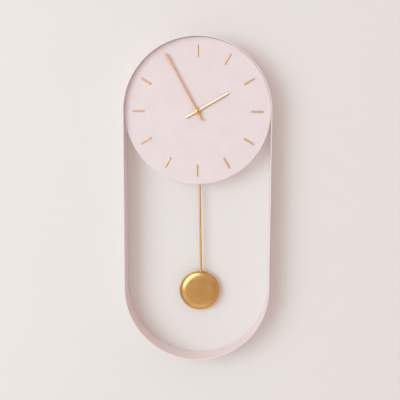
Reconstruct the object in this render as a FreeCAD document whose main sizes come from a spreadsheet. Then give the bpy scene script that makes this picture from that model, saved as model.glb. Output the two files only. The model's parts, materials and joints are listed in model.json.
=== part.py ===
import FreeCAD, Part
import Sketcher
import math
import os

# A pendulum wall clock: a capsule-shaped steel band with a round dial in its upper half, a quartz pendulum
# movement behind the dial, and a rod with a round bob that swings in the open lower half.
# Millimetres, +Z up, front towards -Y. The wall is the plane y = 0 and the origin is the point where the
# wall screw carries the clock. "Depth" below means the distance from the wall towards the front.

dimensions = {
    # steel band and its hanger
    "band_half_width": 125,
    "band_centre_drop": 305,
    "band_depth": 42,
    "band_thickness": 1.5,
    "hanger_rise": 103,
    "hanger_half_width": 40,
    "hanger_lower_edge": 86,
    "hanger_thickness": 1.5,
    "hanger_standoff": 3,
    "keyhole_entry_radius": 5,
    "keyhole_slot_radius": 2.2,
    "keyhole_drop": 9,
    # dial and the tabs that join it to the band
    "dial_radius": 122.8,
    "dial_thickness": 1.2,
    "dial_recess": 9,
    "dial_hole_radius": 3.7,
    "tab_span": 6.5,
    "tab_inner_radius": 112,
    "tab_leg": 14,
    "tab_thickness": 1.2,
    "tab_low_angle": 4,
    "tab_high_angle": 62,
    # hour markers
    "marker_length": 20,
    "marker_width": 3.3,
    "marker_height": 1.5,
    "marker_radius": 99.7,
    "marker_round": 0.4,
    # hands, their angles clockwise from twelve
    "hour_reach": 59,
    "hour_tail": 21.5,
    "hour_width": 3.6,
    "hour_thickness": 1.2,
    "hour_eye_radius": 5,
    "hour_angle": 59.8,
    "hour_back": 35.6,
    "minute_reach": 108,
    "minute_tail": 17.5,
    "minute_width": 3.2,
    "minute_thickness": 1.1,
    "minute_eye_radius": 4.4,
    "minute_angle": -28.8,
    "minute_back": 37.5,
    "hand_chamfer": 0.7,
    "ferrule_radius": 3.1,
    "cap_radius": 3.3,
    "cap_height": 3,
    "cap_round": 1.6,
    # clamping of the movement on the dial
    "washer_radius": 5.4,
    "washer_thickness": 0.4,
    "nut_across_flats": 9.6,
    "nut_thickness": 1.6,
    "gasket_radius": 11,
    "gasket_thickness": 1,
    "bushing_radius": 3.5,
    "bushing_front": 35.2,
    "bushing_flange_radius": 5.5,
    "bushing_flange": 0.6,
    # movement case
    "case_half_width": 36,
    "case_top": 30,
    "case_bottom": 60,
    "case_back": 13.8,
    "case_wall": 1.5,
    "case_front_wall": 1.2,
    "case_corner": 3,
    "bay_left": 17.2,
    "bay_wall": 1.2,
    "bay_bottom": 28.6,
    "bay_top": 27,
    "cover_screw_radius": 1.1,
    "cover_screw_inset": 4.5,
    "cover_screw_post_radius": 2.4,
    "cover_screw_hole": 8,
    "cover_screw_grip": 6,
    "cover_screw_head_radius": 2.1,
    "cover_screw_head": 1.2,
    "cover_screw_slot_width": 0.5,
    "cover_screw_slot_depth": 0.5,
    "plate_thickness": 1,
    "plate_top_inset": 6,
    "post_radius": 1,
    # shafts
    "running_gap": 0.05,
    "hour_tube_radius": 2.1,
    "hour_tube_front": 36.7,
    "cannon_radius": 1.4,
    "cannon_bore": 0.65,
    "cannon_front": 40.2,
    "cannon_back": 22.9,
    "arbor_radius": 0.4,
    "motion_arbor_radius": 0.9,
    "stub_radius": 0.45,
    "pivot_depth": 0.8,
    "end_shake": 0.1,
    "join_overlap": 0.1,
    "motion_hub_radius": 1.8,
    "motion_end_gap": 0.3,
    "seconds_arbor_reach": 9,
    # gear layers: depth of the rear face of each wheel, and wheel widths
    "wheel_width": 1,
    "pinion_overhang": 0.2,
    "hour_layer": 27.5,
    "motion_layer": 26,
    "plate_layer": 24.5,
    "centre_layer": 23.2,
    "third_layer": 21.6,
    "seconds_layer": 19.9,
    "intermediate_layer": 18.3,
    "magnet_layer": 15.9,
    "magnet_length": 2,
    "magnet_radius": 2.5,
    # gear modules; the two wheels on the hand axis share one centre distance with the third wheel
    "hour_module": 0.48,
    "motion_module": 0.5,
    "centre_module": 0.3,
    "seconds_module": 0.3,
    "rotor_module": 0.22,
    "intermediate_bearing": -45,
    "rotor_bearing": -60,
    # setting knob
    "knob_radius": 4.2,
    "knob_length": 3.6,
    "knob_gap": 0.4,
    "knob_flute_radius": 0.5,
    "knob_flutes": 16,
    "knob_end_wall": 0.6,
    # battery
    "cell_radius": 7.1,
    "cell_length": 49.2,
    "cell_nub_radius": 2.75,
    "cell_nub": 1.3,
    "cell_across": 26,
    "cell_bottom": -26,
    "cell_depth": 22.3,
    "contact_gap": 0.4,
    "contact_thickness": 0.4,
    "contact_half_width": 5,
    "contact_spring_base": 4.2,
    "contact_spring_tip": 2.4,
    # stepping motor and electronics
    "stator_layer": 16.9,
    "stator_thickness": 1,
    "stator_hole_radius": 2.9,
    "stator_ring_radius": 5,
    "stator_half_width": 12,
    "stator_side": 4,
    "stator_top": -8.5,
    "stator_core_top": -20.5,
    "stator_core_bottom": -23.5,
    "winding_radius": 2.2,
    "winding_length": 14,
    "winding_offset": 0.2,
    "board_layer": 17,
    "board_thickness": 0.8,
    "board_left": -34,
    "board_right": -15.5,
    "board_bottom": -27,
    "board_top": -4,
    "crystal_radius": 1,
    "crystal_length": 6,
    "crystal_across": -28,
    "crystal_bottom": -14,
    "chip_left": -26,
    "chip_bottom": -24,
    "chip_side": 7,
    "chip_height": 1.4,
    "drive_coil_radius": 9,
    "drive_coil_bore": 3,
    "drive_coil_height": 4,
    # pendulum, measured down from its pivot
    "pivot_rise": 20,
    "pendulum_lean": -1.2,
    "pivot_pin_radius": 1,
    "pivot_pin_head_radius": 2,
    "pivot_pin_head": 0.8,
    "pivot_pin_gap": 0.4,
    "pivot_boss_radius": 3.5,
    "pivot_boss_back": 12,
    "leaf_back": 9.2,
    "leaf_thickness": 1.4,
    "leaf_hub_radius": 3.2,
    "leaf_hub_back": 8.8,
    "leaf_hub_length": 2.4,
    "leaf_half_width": 4.5,
    "leaf_length": 76,
    "magnet_drop": 58,
    "drive_magnet_radius": 4,
    "drive_magnet_length": 2.6,
    "magnet_rim": 1.2,
    "stud_drop": 74,
    "stud_radius": 1.2,
    "stud_length": 2.6,
    "rod_depth": 11.8,
    "rod_radius": 1.8,
    "rod_eye_radius": 3.2,
    "rod_eye_thickness": 2,
    "rod_eye_bite": 0.6,
    "bob_drop": 333.5,
    "bob_radius": 35.1,
    "bob_offset": -3.5,
    "bob_front_height": 9,
    "bob_edge_round": 6.5,
    "bob_back_height": 4.5,
    "bob_back_round": 2.5,
    "bob_wall": 0.8,
    "bob_seam_depth": 9.5,
    "clamp_half_width": 5,
    "clamp_length": 16,
    "clamp_thickness": 4.4,
}

# Tooth numbers of each mesh as (driving pinion, driven wheel).
rotorMesh = (8, 48)
intermediateMesh = (8, 40)
secondsMesh = (8, 60)
thirdMesh = (8, 64)
cannonMesh = (12, 36)
motionMesh = (10, 40)

# Tooth form in modules and in shares of the tooth pitch. The teeth are slim, so no mesh ever binds.
addendum = 0.6
dedendum = 1.0
tipShare = 0.11
rootShare = 0.24

# Two lengths closer than this are the same.
tolerance = 1e-6

document = FreeCAD.newDocument("PendulumClock")
sheet = document.addObject("Spreadsheet::Sheet", "sheet")
for row, (alias, number) in enumerate(dimensions.items(), start=1):
    sheet.set(f"A{row}", alias)
    sheet.set(f"B{row}", str(number))
    sheet.setAlias(f"B{row}", alias)
document.recompute()

nodes = []

# Depths that several pieces share, as expressions of the sheet.
dialFront = "(sheet.band_depth - sheet.dial_recess)"
dialBack = f"({dialFront} - sheet.dial_thickness)"
caseFront = f"({dialBack} - sheet.gasket_thickness)"
caseInside = f"({caseFront} - sheet.case_front_wall)"
coverFront = "(sheet.case_back + sheet.case_wall)"
washerFront = f"({dialFront} + sheet.washer_thickness)"


def value(expression):
    return float(sheet.evalExpression(expression))


def size(alias):
    return float(sheet.get(alias))


def point(across, depth, rise):
    return FreeCAD.Vector(across, -depth, rise)


# Ties an object's position to the sheet; the rise counts from the hand axis.
def place(item, depth="0", across="0", rise="0", turn=None):
    item.Placement = FreeCAD.Placement(FreeCAD.Vector(), FreeCAD.Rotation(FreeCAD.Vector(0, 1, 0), 1))
    item.setExpression("Placement.Base.x", across)
    item.setExpression("Placement.Base.y", f"-({depth})")
    item.setExpression("Placement.Base.z", f"{rise} - sheet.hanger_rise")
    item.setExpression("Placement.Rotation.Angle", turn or "0")


def register(item, label):
    item.Label = label
    nodes.append(item)
    return item


def newBody(label, **position):
    body = document.addObject("PartDesign::Body", label)
    place(body, **position)
    return register(body, label)


# A sketch seen from the front: its x is across, its y is up, and features grow from it towards the front.
def frontSketch(body, name, ahead=None):
    sketch = body.newObject("Sketcher::SketchObject", f"{body.Name}_{name}")
    plane = next(item for item in body.Origin.OriginFeatures if item.Role == "XZ_Plane")
    sketch.AttachmentSupport = (plane, [""])
    sketch.MapMode = "FlatFace"
    if ahead:
        sketch.setExpression("AttachmentOffset.Base.z", ahead)
    return sketch


def bindConstraint(sketch, index, expression):
    sketch.setExpression(f"Constraints[{index}]", expression)


# Puts one point of a sketch at a given place, each coordinate an expression or None for zero.
def locate(sketch, geometry, vertex, across, rise):
    for kind, axis, expression in (("DistanceX", -2, across), ("DistanceY", -1, rise)):
        if expression is None:
            sketch.addConstraint(Sketcher.Constraint("PointOnObject", geometry, vertex, axis))
        else:
            start = value(expression)
            index = sketch.addConstraint(Sketcher.Constraint(kind, -1, 1, geometry, vertex, start))
            bindConstraint(sketch, index, expression)


def addCircle(sketch, radius, across=None, rise=None):
    centre = FreeCAD.Vector(value(across or "0"), value(rise or "0"), 0)
    index = sketch.addGeometry(Part.Circle(centre, FreeCAD.Vector(0, 0, 1), value(radius)), False)
    bindConstraint(sketch, sketch.addConstraint(Sketcher.Constraint("Radius", index, value(radius))), radius)
    locate(sketch, index, 3, across, rise)


# An upright rectangle from its left, right, lower and upper edges.
def addRectangle(sketch, left, right, lower, upper):
    low = FreeCAD.Vector(value(left), value(lower), 0)
    high = FreeCAD.Vector(value(right), value(upper), 0)
    corners = [low, FreeCAD.Vector(high.x, low.y, 0), high, FreeCAD.Vector(low.x, high.y, 0)]
    sides = [
        sketch.addGeometry(Part.LineSegment(corners[i], corners[(i + 1) % 4]), False) for i in range(4)
    ]
    for i, side in enumerate(sides):
        sketch.addConstraint(Sketcher.Constraint("Coincident", side, 2, sides[(i + 1) % 4], 1))
        sketch.addConstraint(Sketcher.Constraint("Horizontal" if i % 2 == 0 else "Vertical", side))
    for kind, side, vertex, edge in (
        ("DistanceX", 0, 1, left),
        ("DistanceX", 1, 1, right),
        ("DistanceY", 0, 1, lower),
        ("DistanceY", 2, 1, upper),
    ):
        constraint = Sketcher.Constraint(kind, -1, 1, sides[side], vertex, value(edge))
        bindConstraint(sketch, sketch.addConstraint(constraint), edge)


# A capsule outline: a half circle about the origin, a half circle below it and two upright sides.
def addCapsule(sketch, radius, drop):
    upAxis = FreeCAD.Vector(0, 0, 1)
    reach, fall = value(radius), value(drop)
    lowCentre = FreeCAD.Vector(0, -fall, 0)
    top = sketch.addGeometry(
        Part.ArcOfCircle(Part.Circle(FreeCAD.Vector(), upAxis, reach), 0, math.pi), False
    )
    bottom = sketch.addGeometry(
        Part.ArcOfCircle(Part.Circle(lowCentre, upAxis, reach), math.pi, 2 * math.pi), False
    )
    left = sketch.addGeometry(
        Part.LineSegment(FreeCAD.Vector(-reach, 0, 0), FreeCAD.Vector(-reach, -fall, 0)), False
    )
    right = sketch.addGeometry(
        Part.LineSegment(FreeCAD.Vector(reach, -fall, 0), FreeCAD.Vector(reach, 0, 0)), False
    )
    for first, firstEnd, second, secondEnd in (
        (top, 2, left, 1),
        (left, 2, bottom, 1),
        (bottom, 2, right, 1),
        (right, 2, top, 1),
    ):
        sketch.addConstraint(Sketcher.Constraint("Tangent", first, firstEnd, second, secondEnd))
    sketch.addConstraint(Sketcher.Constraint("Vertical", left))
    bindConstraint(sketch, sketch.addConstraint(Sketcher.Constraint("Radius", top, reach)), radius)
    locate(sketch, top, 3, None, None)
    locate(sketch, bottom, 3, None, f"-({drop})")


# A sketch seen from above, for cuts that run downwards from the body's origin.
def topSketch(body, name):
    sketch = body.newObject("Sketcher::SketchObject", f"{body.Name}_{name}")
    plane = next(item for item in body.Origin.OriginFeatures if item.Role == "XY_Plane")
    sketch.AttachmentSupport = (plane, [""])
    sketch.MapMode = "FlatFace"
    return sketch


def pad(body, sketch, length):
    grown = body.newObject("PartDesign::Pad", f"{sketch.Name}_pad")
    grown.Profile = sketch
    grown.setExpression("Length", length)
    document.recompute()
    return grown


# Cuts from a front sketch towards the front, or from a top sketch downwards; a cut of nothing is an error.
def pocket(body, sketch, length, forwards=True):
    before = body.Shape.Volume
    cut = body.newObject("PartDesign::Pocket", f"{sketch.Name}_pocket")
    cut.Profile = sketch
    cut.Reversed = forwards
    cut.setExpression("Length", length)
    document.recompute()
    if body.Shape.Volume >= before:
        raise RuntimeError(f"{sketch.Name} cuts nothing")
    return cut


# The edges of a shape that lie in the plane this far in front of the body's origin plane.
def edgesAhead(base, ahead, accept=lambda edge: True):
    names = []
    for index, edge in enumerate(base.Shape.Edges, start=1):
        flat = all(abs(vertex.Point.y + value(ahead)) < tolerance for vertex in edge.Vertexes)
        if flat and accept(edge):
            names.append(f"Edge{index}")
    return names


# Rounds (Fillet) or bevels (Chamfer) edges of a body's latest shape.
def soften(body, base, kind, edges, amount):
    softened = body.newObject(f"PartDesign::{kind}", f"{base.Name}_{kind.lower()}")
    softened.Base = (base, edges)
    softened.setExpression("Radius" if kind == "Fillet" else "Size", amount)
    document.recompute()
    return softened


# A disc or tube whose axis runs front to back.
def disc(label, radius, length, bore=None, **position):
    body = newBody(label, **position)
    sketch = frontSketch(body, "outline")
    addCircle(sketch, radius)
    if bore:
        addCircle(sketch, bore)
    pad(body, sketch, length)
    return body


# A plain shape whose lengths are read from the sheet when it is made, drawn about the hand axis. It serves
# gears, fused housings and wire, which sketches and pads would only make longer.
def feature(label, shape):
    item = document.addObject("Part::Feature", label)
    item.Shape = shape
    item.Placement = FreeCAD.Placement(point(0, 0, -size("hanger_rise")), FreeCAD.Rotation())
    return register(item, label)


def cylinder(radius, back, length, across=0, rise=0):
    return Part.makeCylinder(radius, length, point(across, back, rise), FreeCAD.Vector(0, -1, 0))


def block(left, right, back, front, lower, upper):
    return Part.makeBox(right - left, front - back, upper - lower, point(left, front, lower))


# ---- band, hanger, dial ----


def makeFrameBand():
    body = newBody("frame_band")
    sketch = frontSketch(body, "outline")
    addCapsule(sketch, "sheet.band_half_width", "sheet.band_centre_drop")
    addCapsule(sketch, "sheet.band_half_width - sheet.band_thickness", "sheet.band_centre_drop")
    pad(body, sketch, "sheet.band_depth")


# A steel plate that follows the inside of the band's top, with a keyhole for the wall screw.
def makeHangerPlate():
    body = newBody("hanger_plate", depth="sheet.hanger_standoff")
    disk = frontSketch(body, "disk")
    addCircle(disk, "sheet.band_half_width - sheet.band_thickness")
    pad(body, disk, "sheet.hanger_thickness")
    reach = "sheet.band_half_width"
    below = frontSketch(body, "below")
    addRectangle(below, f"-{reach}", reach, f"-{reach}", "sheet.hanger_lower_edge")
    pocket(body, below, "sheet.hanger_thickness")
    for side, left, right in (
        ("left", f"-{reach}", "-sheet.hanger_half_width"),
        ("right", "sheet.hanger_half_width", reach),
    ):
        beyond = frontSketch(body, side)
        addRectangle(beyond, left, right, "0", reach)
        pocket(body, beyond, "sheet.hanger_thickness")
    keyholeSteps = (
        ("entry", "sheet.keyhole_entry_radius", "sheet.hanger_rise - sheet.keyhole_drop"),
        ("slot_end", "sheet.keyhole_slot_radius", "sheet.hanger_rise"),
    )
    for name, radius, rise in keyholeSteps:
        hole = frontSketch(body, name)
        addCircle(hole, radius, None, rise)
        pocket(body, hole, "sheet.hanger_thickness")
    slot = frontSketch(body, "slot")
    width = "sheet.keyhole_slot_radius"
    addRectangle(slot, f"-{width}", width, "sheet.hanger_rise - sheet.keyhole_drop", "sheet.hanger_rise")
    pocket(body, slot, "sheet.hanger_thickness")


def makeDial():
    disc(
        "dial",
        "sheet.dial_radius",
        "sheet.dial_thickness",
        bore="sheet.dial_hole_radius",
        depth=dialBack,
    )


# Welded angle tabs: the foot lies on the back of the dial and the leg on the inside of the band.
def makeDialTabs():
    outer = size("band_half_width") - size("band_thickness")
    thickness, leg = size("tab_thickness"), size("tab_leg")
    span = size("tab_span")
    back = value(dialBack)
    lowAngle, highAngle = size("tab_low_angle"), size("tab_high_angle")
    for name, angle in (
        ("right", lowAngle),
        ("upper_right", highAngle),
        ("upper_left", 180 - highAngle),
        ("left", 180 - lowAngle),
    ):
        corners = [
            (size("tab_inner_radius"), back),
            (outer, back),
            (outer, back - leg),
            (outer - thickness, back - leg),
            (outer - thickness, back - thickness),
            (size("tab_inner_radius"), back - thickness),
        ]
        outline = [point(radius, depth, 0) for radius, depth in corners]
        profile = Part.Face(Part.makePolygon(outline + outline[:1]))
        profile.rotate(FreeCAD.Vector(), FreeCAD.Vector(0, -1, 0), angle - span / 2)
        feature(f"dial_tab_{name}", profile.revolve(FreeCAD.Vector(), FreeCAD.Vector(0, -1, 0), span))


def makeHourMarkers():
    half = "sheet.marker_width / 2"
    inner = "sheet.marker_radius - sheet.marker_length / 2"
    outer = "sheet.marker_radius + sheet.marker_length / 2"
    for hour in range(1, 13):
        body = newBody(f"hour_marker_{hour:02d}", depth=dialFront, turn=str(30 * hour % 360))
        sketch = frontSketch(body, "outline")
        addRectangle(sketch, f"-{half}", half, inner, outer)
        bar = pad(body, sketch, "sheet.marker_height")
        soften(body, bar, "Fillet", edgesAhead(bar, "sheet.marker_height"), "sheet.marker_round")


# ---- hands and what clamps the movement ----


# A slim bar with a round eye, its long front edges bevelled.
def makeHand(label, prefix, bore):
    body = newBody(label, depth=f"sheet.{prefix}_back", turn=f"sheet.{prefix}_angle")
    thickness = f"sheet.{prefix}_thickness"
    half = f"sheet.{prefix}_width / 2"
    blade = frontSketch(body, "blade")
    addRectangle(blade, f"-{half}", half, f"-sheet.{prefix}_tail", f"sheet.{prefix}_reach")
    bar = pad(body, blade, thickness)
    longest = value(f"sheet.{prefix}_reach")
    sides = edgesAhead(bar, thickness, lambda edge: edge.Length > longest)
    soften(body, bar, "Chamfer", sides, "sheet.hand_chamfer")
    eye = frontSketch(body, "eye")
    addCircle(eye, f"sheet.{prefix}_eye_radius")
    pad(body, eye, thickness)
    hole = frontSketch(body, "hole")
    addCircle(hole, bore)
    pocket(body, hole, thickness)


# The brass sleeve riveted in the hour hand; it grips the hour tube.
def makeHourFerrule():
    disc(
        "hour_hand_ferrule",
        "sheet.ferrule_radius",
        "sheet.hour_thickness",
        bore="sheet.hour_tube_radius",
        depth="sheet.hour_back",
    )


# The closed brass cap nut that holds the minute hand.
def makeHandNut():
    front = "(sheet.minute_back + sheet.minute_thickness)"
    body = newBody("hand_nut", depth=front)
    outline = frontSketch(body, "outline")
    addCircle(outline, "sheet.cap_radius")
    cap = pad(body, outline, "sheet.cap_height")
    soften(body, cap, "Fillet", edgesAhead(cap, "sheet.cap_height"), "sheet.cap_round")
    bore = frontSketch(body, "bore")
    addCircle(bore, "sheet.cannon_radius")
    pocket(body, bore, f"sheet.cannon_front - {front}")


# The threaded brass tube that carries the movement; its flange bears on the inside of the case.
def makeShaftBushing():
    flangeBack = f"({caseInside} - sheet.bushing_flange)"
    body = newBody("shaft_bushing", depth=flangeBack)
    bore = "sheet.hour_tube_radius + sheet.running_gap"
    flange = frontSketch(body, "flange")
    addCircle(flange, "sheet.bushing_flange_radius")
    pad(body, flange, "sheet.bushing_flange")
    tube = frontSketch(body, "tube")
    addCircle(tube, "sheet.bushing_radius")
    pad(body, tube, f"sheet.bushing_front - {flangeBack}")
    hole = frontSketch(body, "hole")
    addCircle(hole, bore)
    pocket(body, hole, f"sheet.bushing_front - {flangeBack}")


def makeFixingNut():
    back, thickness = value(washerFront), size("nut_thickness")
    corner = size("nut_across_flats") / 2 / math.cos(math.pi / 6)
    angles = [math.pi / 3 * i for i in range(6)]
    outline = [point(corner * math.cos(angle), back, corner * math.sin(angle)) for angle in angles]
    prism = Part.Face(Part.makePolygon(outline + outline[:1])).extrude(point(0, thickness, 0))
    hole = cylinder(size("bushing_radius"), back, thickness)
    feature("fixing_nut", prism.cut(hole))


# ---- movement case ----


# Plan of the case: a box with rounded corners, as a solid between two depths.
def casePlan(inset, back, front):
    half = size("case_half_width") - inset
    top, bottom = size("case_top") - inset, size("case_bottom") - inset
    plan = block(-half, half, back, front, -bottom, top)
    upright = [
        edge for edge in plan.Edges if abs(edge.Vertexes[0].Point.y - edge.Vertexes[1].Point.y) > tolerance
    ]
    return plan.makeFillet(size("case_corner") - inset, upright)


def coverScrewSpots():
    inset = size("cover_screw_inset")
    left, right = inset - size("case_half_width"), size("case_half_width") - inset
    low, high = inset - size("case_bottom"), size("case_top") - inset
    return [(left, low), (right, low), (left, high)]


# The battery bay is open to the back, and its walls stand on the front wall of the case.
def makeMovementCase():
    back, front, inside = value(coverFront), value(caseFront), value(caseInside)
    wall = size("case_wall")
    shell = casePlan(0, back, front).cut(casePlan(wall, back, inside))
    bayLeft, bayWall = size("bay_left"), size("bay_wall")
    right = size("case_half_width") - wall
    low, high = -size("bay_bottom"), size("bay_top")
    bayWalls = [
        block(bayLeft, bayLeft + bayWall, back, inside, low, size("case_top") - wall),
        block(bayLeft, right, back, inside, low - bayWall, low),
    ]
    posts = [
        cylinder(size("cover_screw_post_radius"), back, inside - back, *spot) for spot in coverScrewSpots()
    ]
    solid = shell.multiFuse(bayWalls + posts)
    holes = [
        cylinder(size("cover_screw_radius"), back, size("cover_screw_hole"), *spot)
        for spot in coverScrewSpots()
    ]
    holes.append(cylinder(size("bushing_radius"), inside, front - inside))
    feature("movement_case", solid.cut(Part.makeCompound(holes)).removeSplitter())


# The back cover leaves the battery bay open, carries the rear pivots and the boss of the pendulum pin.
def makeBackCover():
    back, front = size("case_back"), value(coverFront)
    plate = casePlan(0, back, front)
    right, top = size("case_half_width"), size("case_top")
    window = block(size("bay_left"), right, back, front, -size("bay_bottom"), top)
    pivotRise, bossBack = size("pivot_rise"), size("pivot_boss_back")
    boss = cylinder(size("pivot_boss_radius"), bossBack, front - bossBack, 0, pivotRise)
    stubFront = size("seconds_layer") + size("wheel_width") + size("pinion_overhang") + size("end_shake")
    stub = cylinder(size("stub_radius"), front, stubFront - front, *intermediateSpot)
    postRadius = size("post_radius")
    statorPosts = [
        cylinder(postRadius, front, size("stator_layer") - front, *spot) for spot in statorPostSpots
    ]
    boardPosts = [cylinder(postRadius, front, size("board_layer") - front, *spot) for spot in boardPostSpots]
    holes = [
        cylinder(size("cover_screw_radius"), back, front - back, *spot) for spot in coverScrewSpots()
    ]
    gap = size("running_gap")
    pivotRadius = size("arbor_radius") + gap
    for spot in (rotorSpot, thirdSpot, axisSpot):
        holes.append(cylinder(pivotRadius, front - size("pivot_depth"), size("pivot_depth"), *spot))
    holes.append(cylinder(size("motion_arbor_radius") + gap, back, front - back, *motionSpot))
    holes.append(cylinder(size("pivot_pin_radius"), bossBack, front - bossBack, 0, pivotRise))
    solid = plate.cut(window).multiFuse([boss, stub] + statorPosts + boardPosts)
    feature("back_cover", solid.cut(Part.makeCompound(holes)).removeSplitter())


def makeCoverScrews():
    back, front = size("case_back"), value(coverFront)
    headRadius, headHeight = size("cover_screw_head_radius"), size("cover_screw_head")
    headBack = back - headHeight
    slotFront, slotHalf = headBack + size("cover_screw_slot_depth"), size("cover_screw_slot_width") / 2
    screws = []
    for across, rise in coverScrewSpots():
        shankLength = front - back + size("cover_screw_grip")
        shank = cylinder(size("cover_screw_radius"), back, shankLength, across, rise)
        head = cylinder(headRadius, headBack, headHeight, across, rise)
        left, right = across - headRadius, across + headRadius
        slot = block(left, right, headBack, slotFront, rise - slotHalf, rise + slotHalf)
        screws.append(shank.fuse(head).cut(slot))
    feature("cover_screws", Part.makeCompound(screws))


def makeTrainPlate():
    back, thickness = size("plate_layer"), size("plate_thickness")
    wall = size("case_wall")
    left, right = wall - size("case_half_width"), size("bay_left")
    low, high = -size("bay_bottom"), size("case_top") - wall - size("plate_top_inset")
    plate = block(left, right, back, back + thickness, low, high)
    gap = size("running_gap")
    pivotRadius = size("arbor_radius") + gap
    holes = [cylinder(size("cannon_radius") + gap, back, thickness)]
    holes.append(cylinder(size("motion_arbor_radius") + gap, back, thickness, *motionSpot))
    holes += [cylinder(pivotRadius, back, size("pivot_depth"), *spot) for spot in (rotorSpot, thirdSpot)]
    feature("train_plate", plate.cut(Part.makeCompound(holes)))


# ---- gear train ----


def bearingSpot(start, distance, bearing):
    angle = math.radians(bearing)
    return start[0] + distance * math.cos(angle), start[1] + distance * math.sin(angle)


def centreDistance(mesh, module):
    return module * sum(mesh) / 2


def directionBetween(start, end):
    return math.atan2(end[1] - start[1], end[0] - start[0])


# An arbor as (radius, back, length) that runs from the back cover's pivots to the train plate's.
def betweenPivots():
    reach = size("pivot_depth") - size("end_shake")
    rear, front = value(coverFront) - reach, size("plate_layer") + reach
    return size("arbor_radius"), rear, front - rear


# One ring of teeth about a spot. It has a tooth, or a gap where "meets" is gap, exactly towards its mate.
def toothedRing(teeth, module, spot, mate, meets, back, width):
    pitch = 2 * math.pi / teeth
    radius = teeth * module / 2
    root, tip = radius - dedendum * module, radius + addendum * module
    first = directionBetween(spot, mate) + (pitch / 2 if meets == "gap" else 0)
    outline = []
    for tooth in range(teeth):
        middle = first + tooth * pitch
        for reach, share in ((root, -rootShare), (tip, -tipShare), (tip, tipShare), (root, rootShare)):
            angle = middle + share * pitch
            outline.append(point(spot[0] + reach * math.cos(angle), back, spot[1] + reach * math.sin(angle)))
    face = Part.Face(Part.makePolygon(outline + outline[:1]))
    return face.extrude(point(0, width, 0))


# A wheel is toothed rings and arbors fused, less its bores, each given as (radius, back, length).
def makeWheel(label, spot, rings, arbors=(), bores=()):
    solids = list(rings) + [cylinder(*arbor, *spot) for arbor in arbors]
    solid = solids[0].multiFuse(solids[1:]) if len(solids) > 1 else solids[0]
    if bores:
        solid = solid.cut(Part.makeCompound([cylinder(*bore, *spot) for bore in bores]))
    feature(label, solid.removeSplitter())


axisSpot = (0, 0)
motionSpot = (-centreDistance(cannonMesh, size("motion_module")), 0)
thirdDistance = centreDistance(thirdMesh, size("centre_module"))
thirdSpot = (0, thirdDistance)
thirdModule = 2 * thirdDistance / sum(secondsMesh)
intermediateSpot = bearingSpot(
    axisSpot, centreDistance(intermediateMesh, size("seconds_module")), size("intermediate_bearing")
)
rotorSpot = bearingSpot(
    intermediateSpot, centreDistance(rotorMesh, size("rotor_module")), size("rotor_bearing")
)

# Both motor and board rest on posts of the back cover, each post this far in from their edges.
postInset = 2.5
statorLeft = size("stator_side") / 2 - size("stator_half_width")
statorPostSpots = [
    (statorLeft, size("stator_top") - postInset),
    (statorLeft, size("stator_core_top") - postInset / 2),
]
boardLeft, boardRight = size("board_left") + postInset, size("board_right") - postInset
boardLow = size("board_bottom") + postInset
boardPostSpots = [(boardLeft, size("board_top") - postInset), (boardLeft, boardLow), (boardRight, boardLow)]


# The hour wheel and its tube turn on the cannon tube, inside the bushing.
def makeHourWheel():
    back, width = size("hour_layer"), size("wheel_width")
    ring = toothedRing(motionMesh[1], size("hour_module"), axisSpot, motionSpot, "gap", back, width)
    tube = (size("hour_tube_radius"), back, size("hour_tube_front") - back)
    bore = (size("cannon_radius") + size("running_gap"), back, tube[2])
    makeWheel("hour_wheel", axisSpot, [ring], [tube], [bore])


# The motion wheel is driven by the cannon pinion and its own pinion drives the hour wheel.
def makeMotionWheel():
    width, overhang = size("wheel_width"), size("pinion_overhang")
    wheelBack, pinionBack = size("motion_layer"), size("hour_layer") - overhang
    wheel = toothedRing(
        cannonMesh[1], size("motion_module"), motionSpot, axisSpot, "gap", wheelBack, width
    )
    pinion = toothedRing(
        motionMesh[0], size("hour_module"), motionSpot, axisSpot, "tooth", pinionBack, width + 2 * overhang
    )
    rear = size("case_back") - size("knob_gap") - size("knob_length") + size("knob_end_wall")
    front = value(caseInside) - size("motion_end_gap")
    arbor = (size("motion_arbor_radius"), rear, front - rear)
    hub = (size("motion_hub_radius"), wheelBack, pinionBack - wheelBack + size("join_overlap"))
    makeWheel("motion_wheel", motionSpot, [wheel, pinion], [arbor, hub])


def makeCannonPinion():
    width, overhang = size("wheel_width"), size("pinion_overhang")
    pinion = toothedRing(
        cannonMesh[0],
        size("motion_module"),
        axisSpot,
        motionSpot,
        "tooth",
        size("motion_layer") - overhang,
        width + 1.5 * overhang,
    )
    back = size("cannon_back")
    length = size("cannon_front") - back
    tube = (size("cannon_radius"), back, length)
    makeWheel("cannon_pinion", axisSpot, [pinion], [tube], [(size("cannon_bore"), back, length)])


def makeCentreWheel():
    back, width = size("centre_layer"), size("wheel_width")
    ring = toothedRing(thirdMesh[1], size("centre_module"), axisSpot, thirdSpot, "gap", back, width)
    bore = (size("cannon_radius") + size("running_gap"), back, width)
    makeWheel("centre_wheel", axisSpot, [ring], bores=[bore])


def makeThirdWheel():
    width, overhang = size("wheel_width"), size("pinion_overhang")
    wheel = toothedRing(
        secondsMesh[1], thirdModule, thirdSpot, axisSpot, "gap", size("third_layer"), width
    )
    pinion = toothedRing(
        thirdMesh[0],
        size("centre_module"),
        thirdSpot,
        axisSpot,
        "tooth",
        size("third_layer") + width,
        size("centre_layer") + overhang - size("third_layer"),
    )
    makeWheel("third_wheel", thirdSpot, [wheel, pinion], [betweenPivots()])


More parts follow.
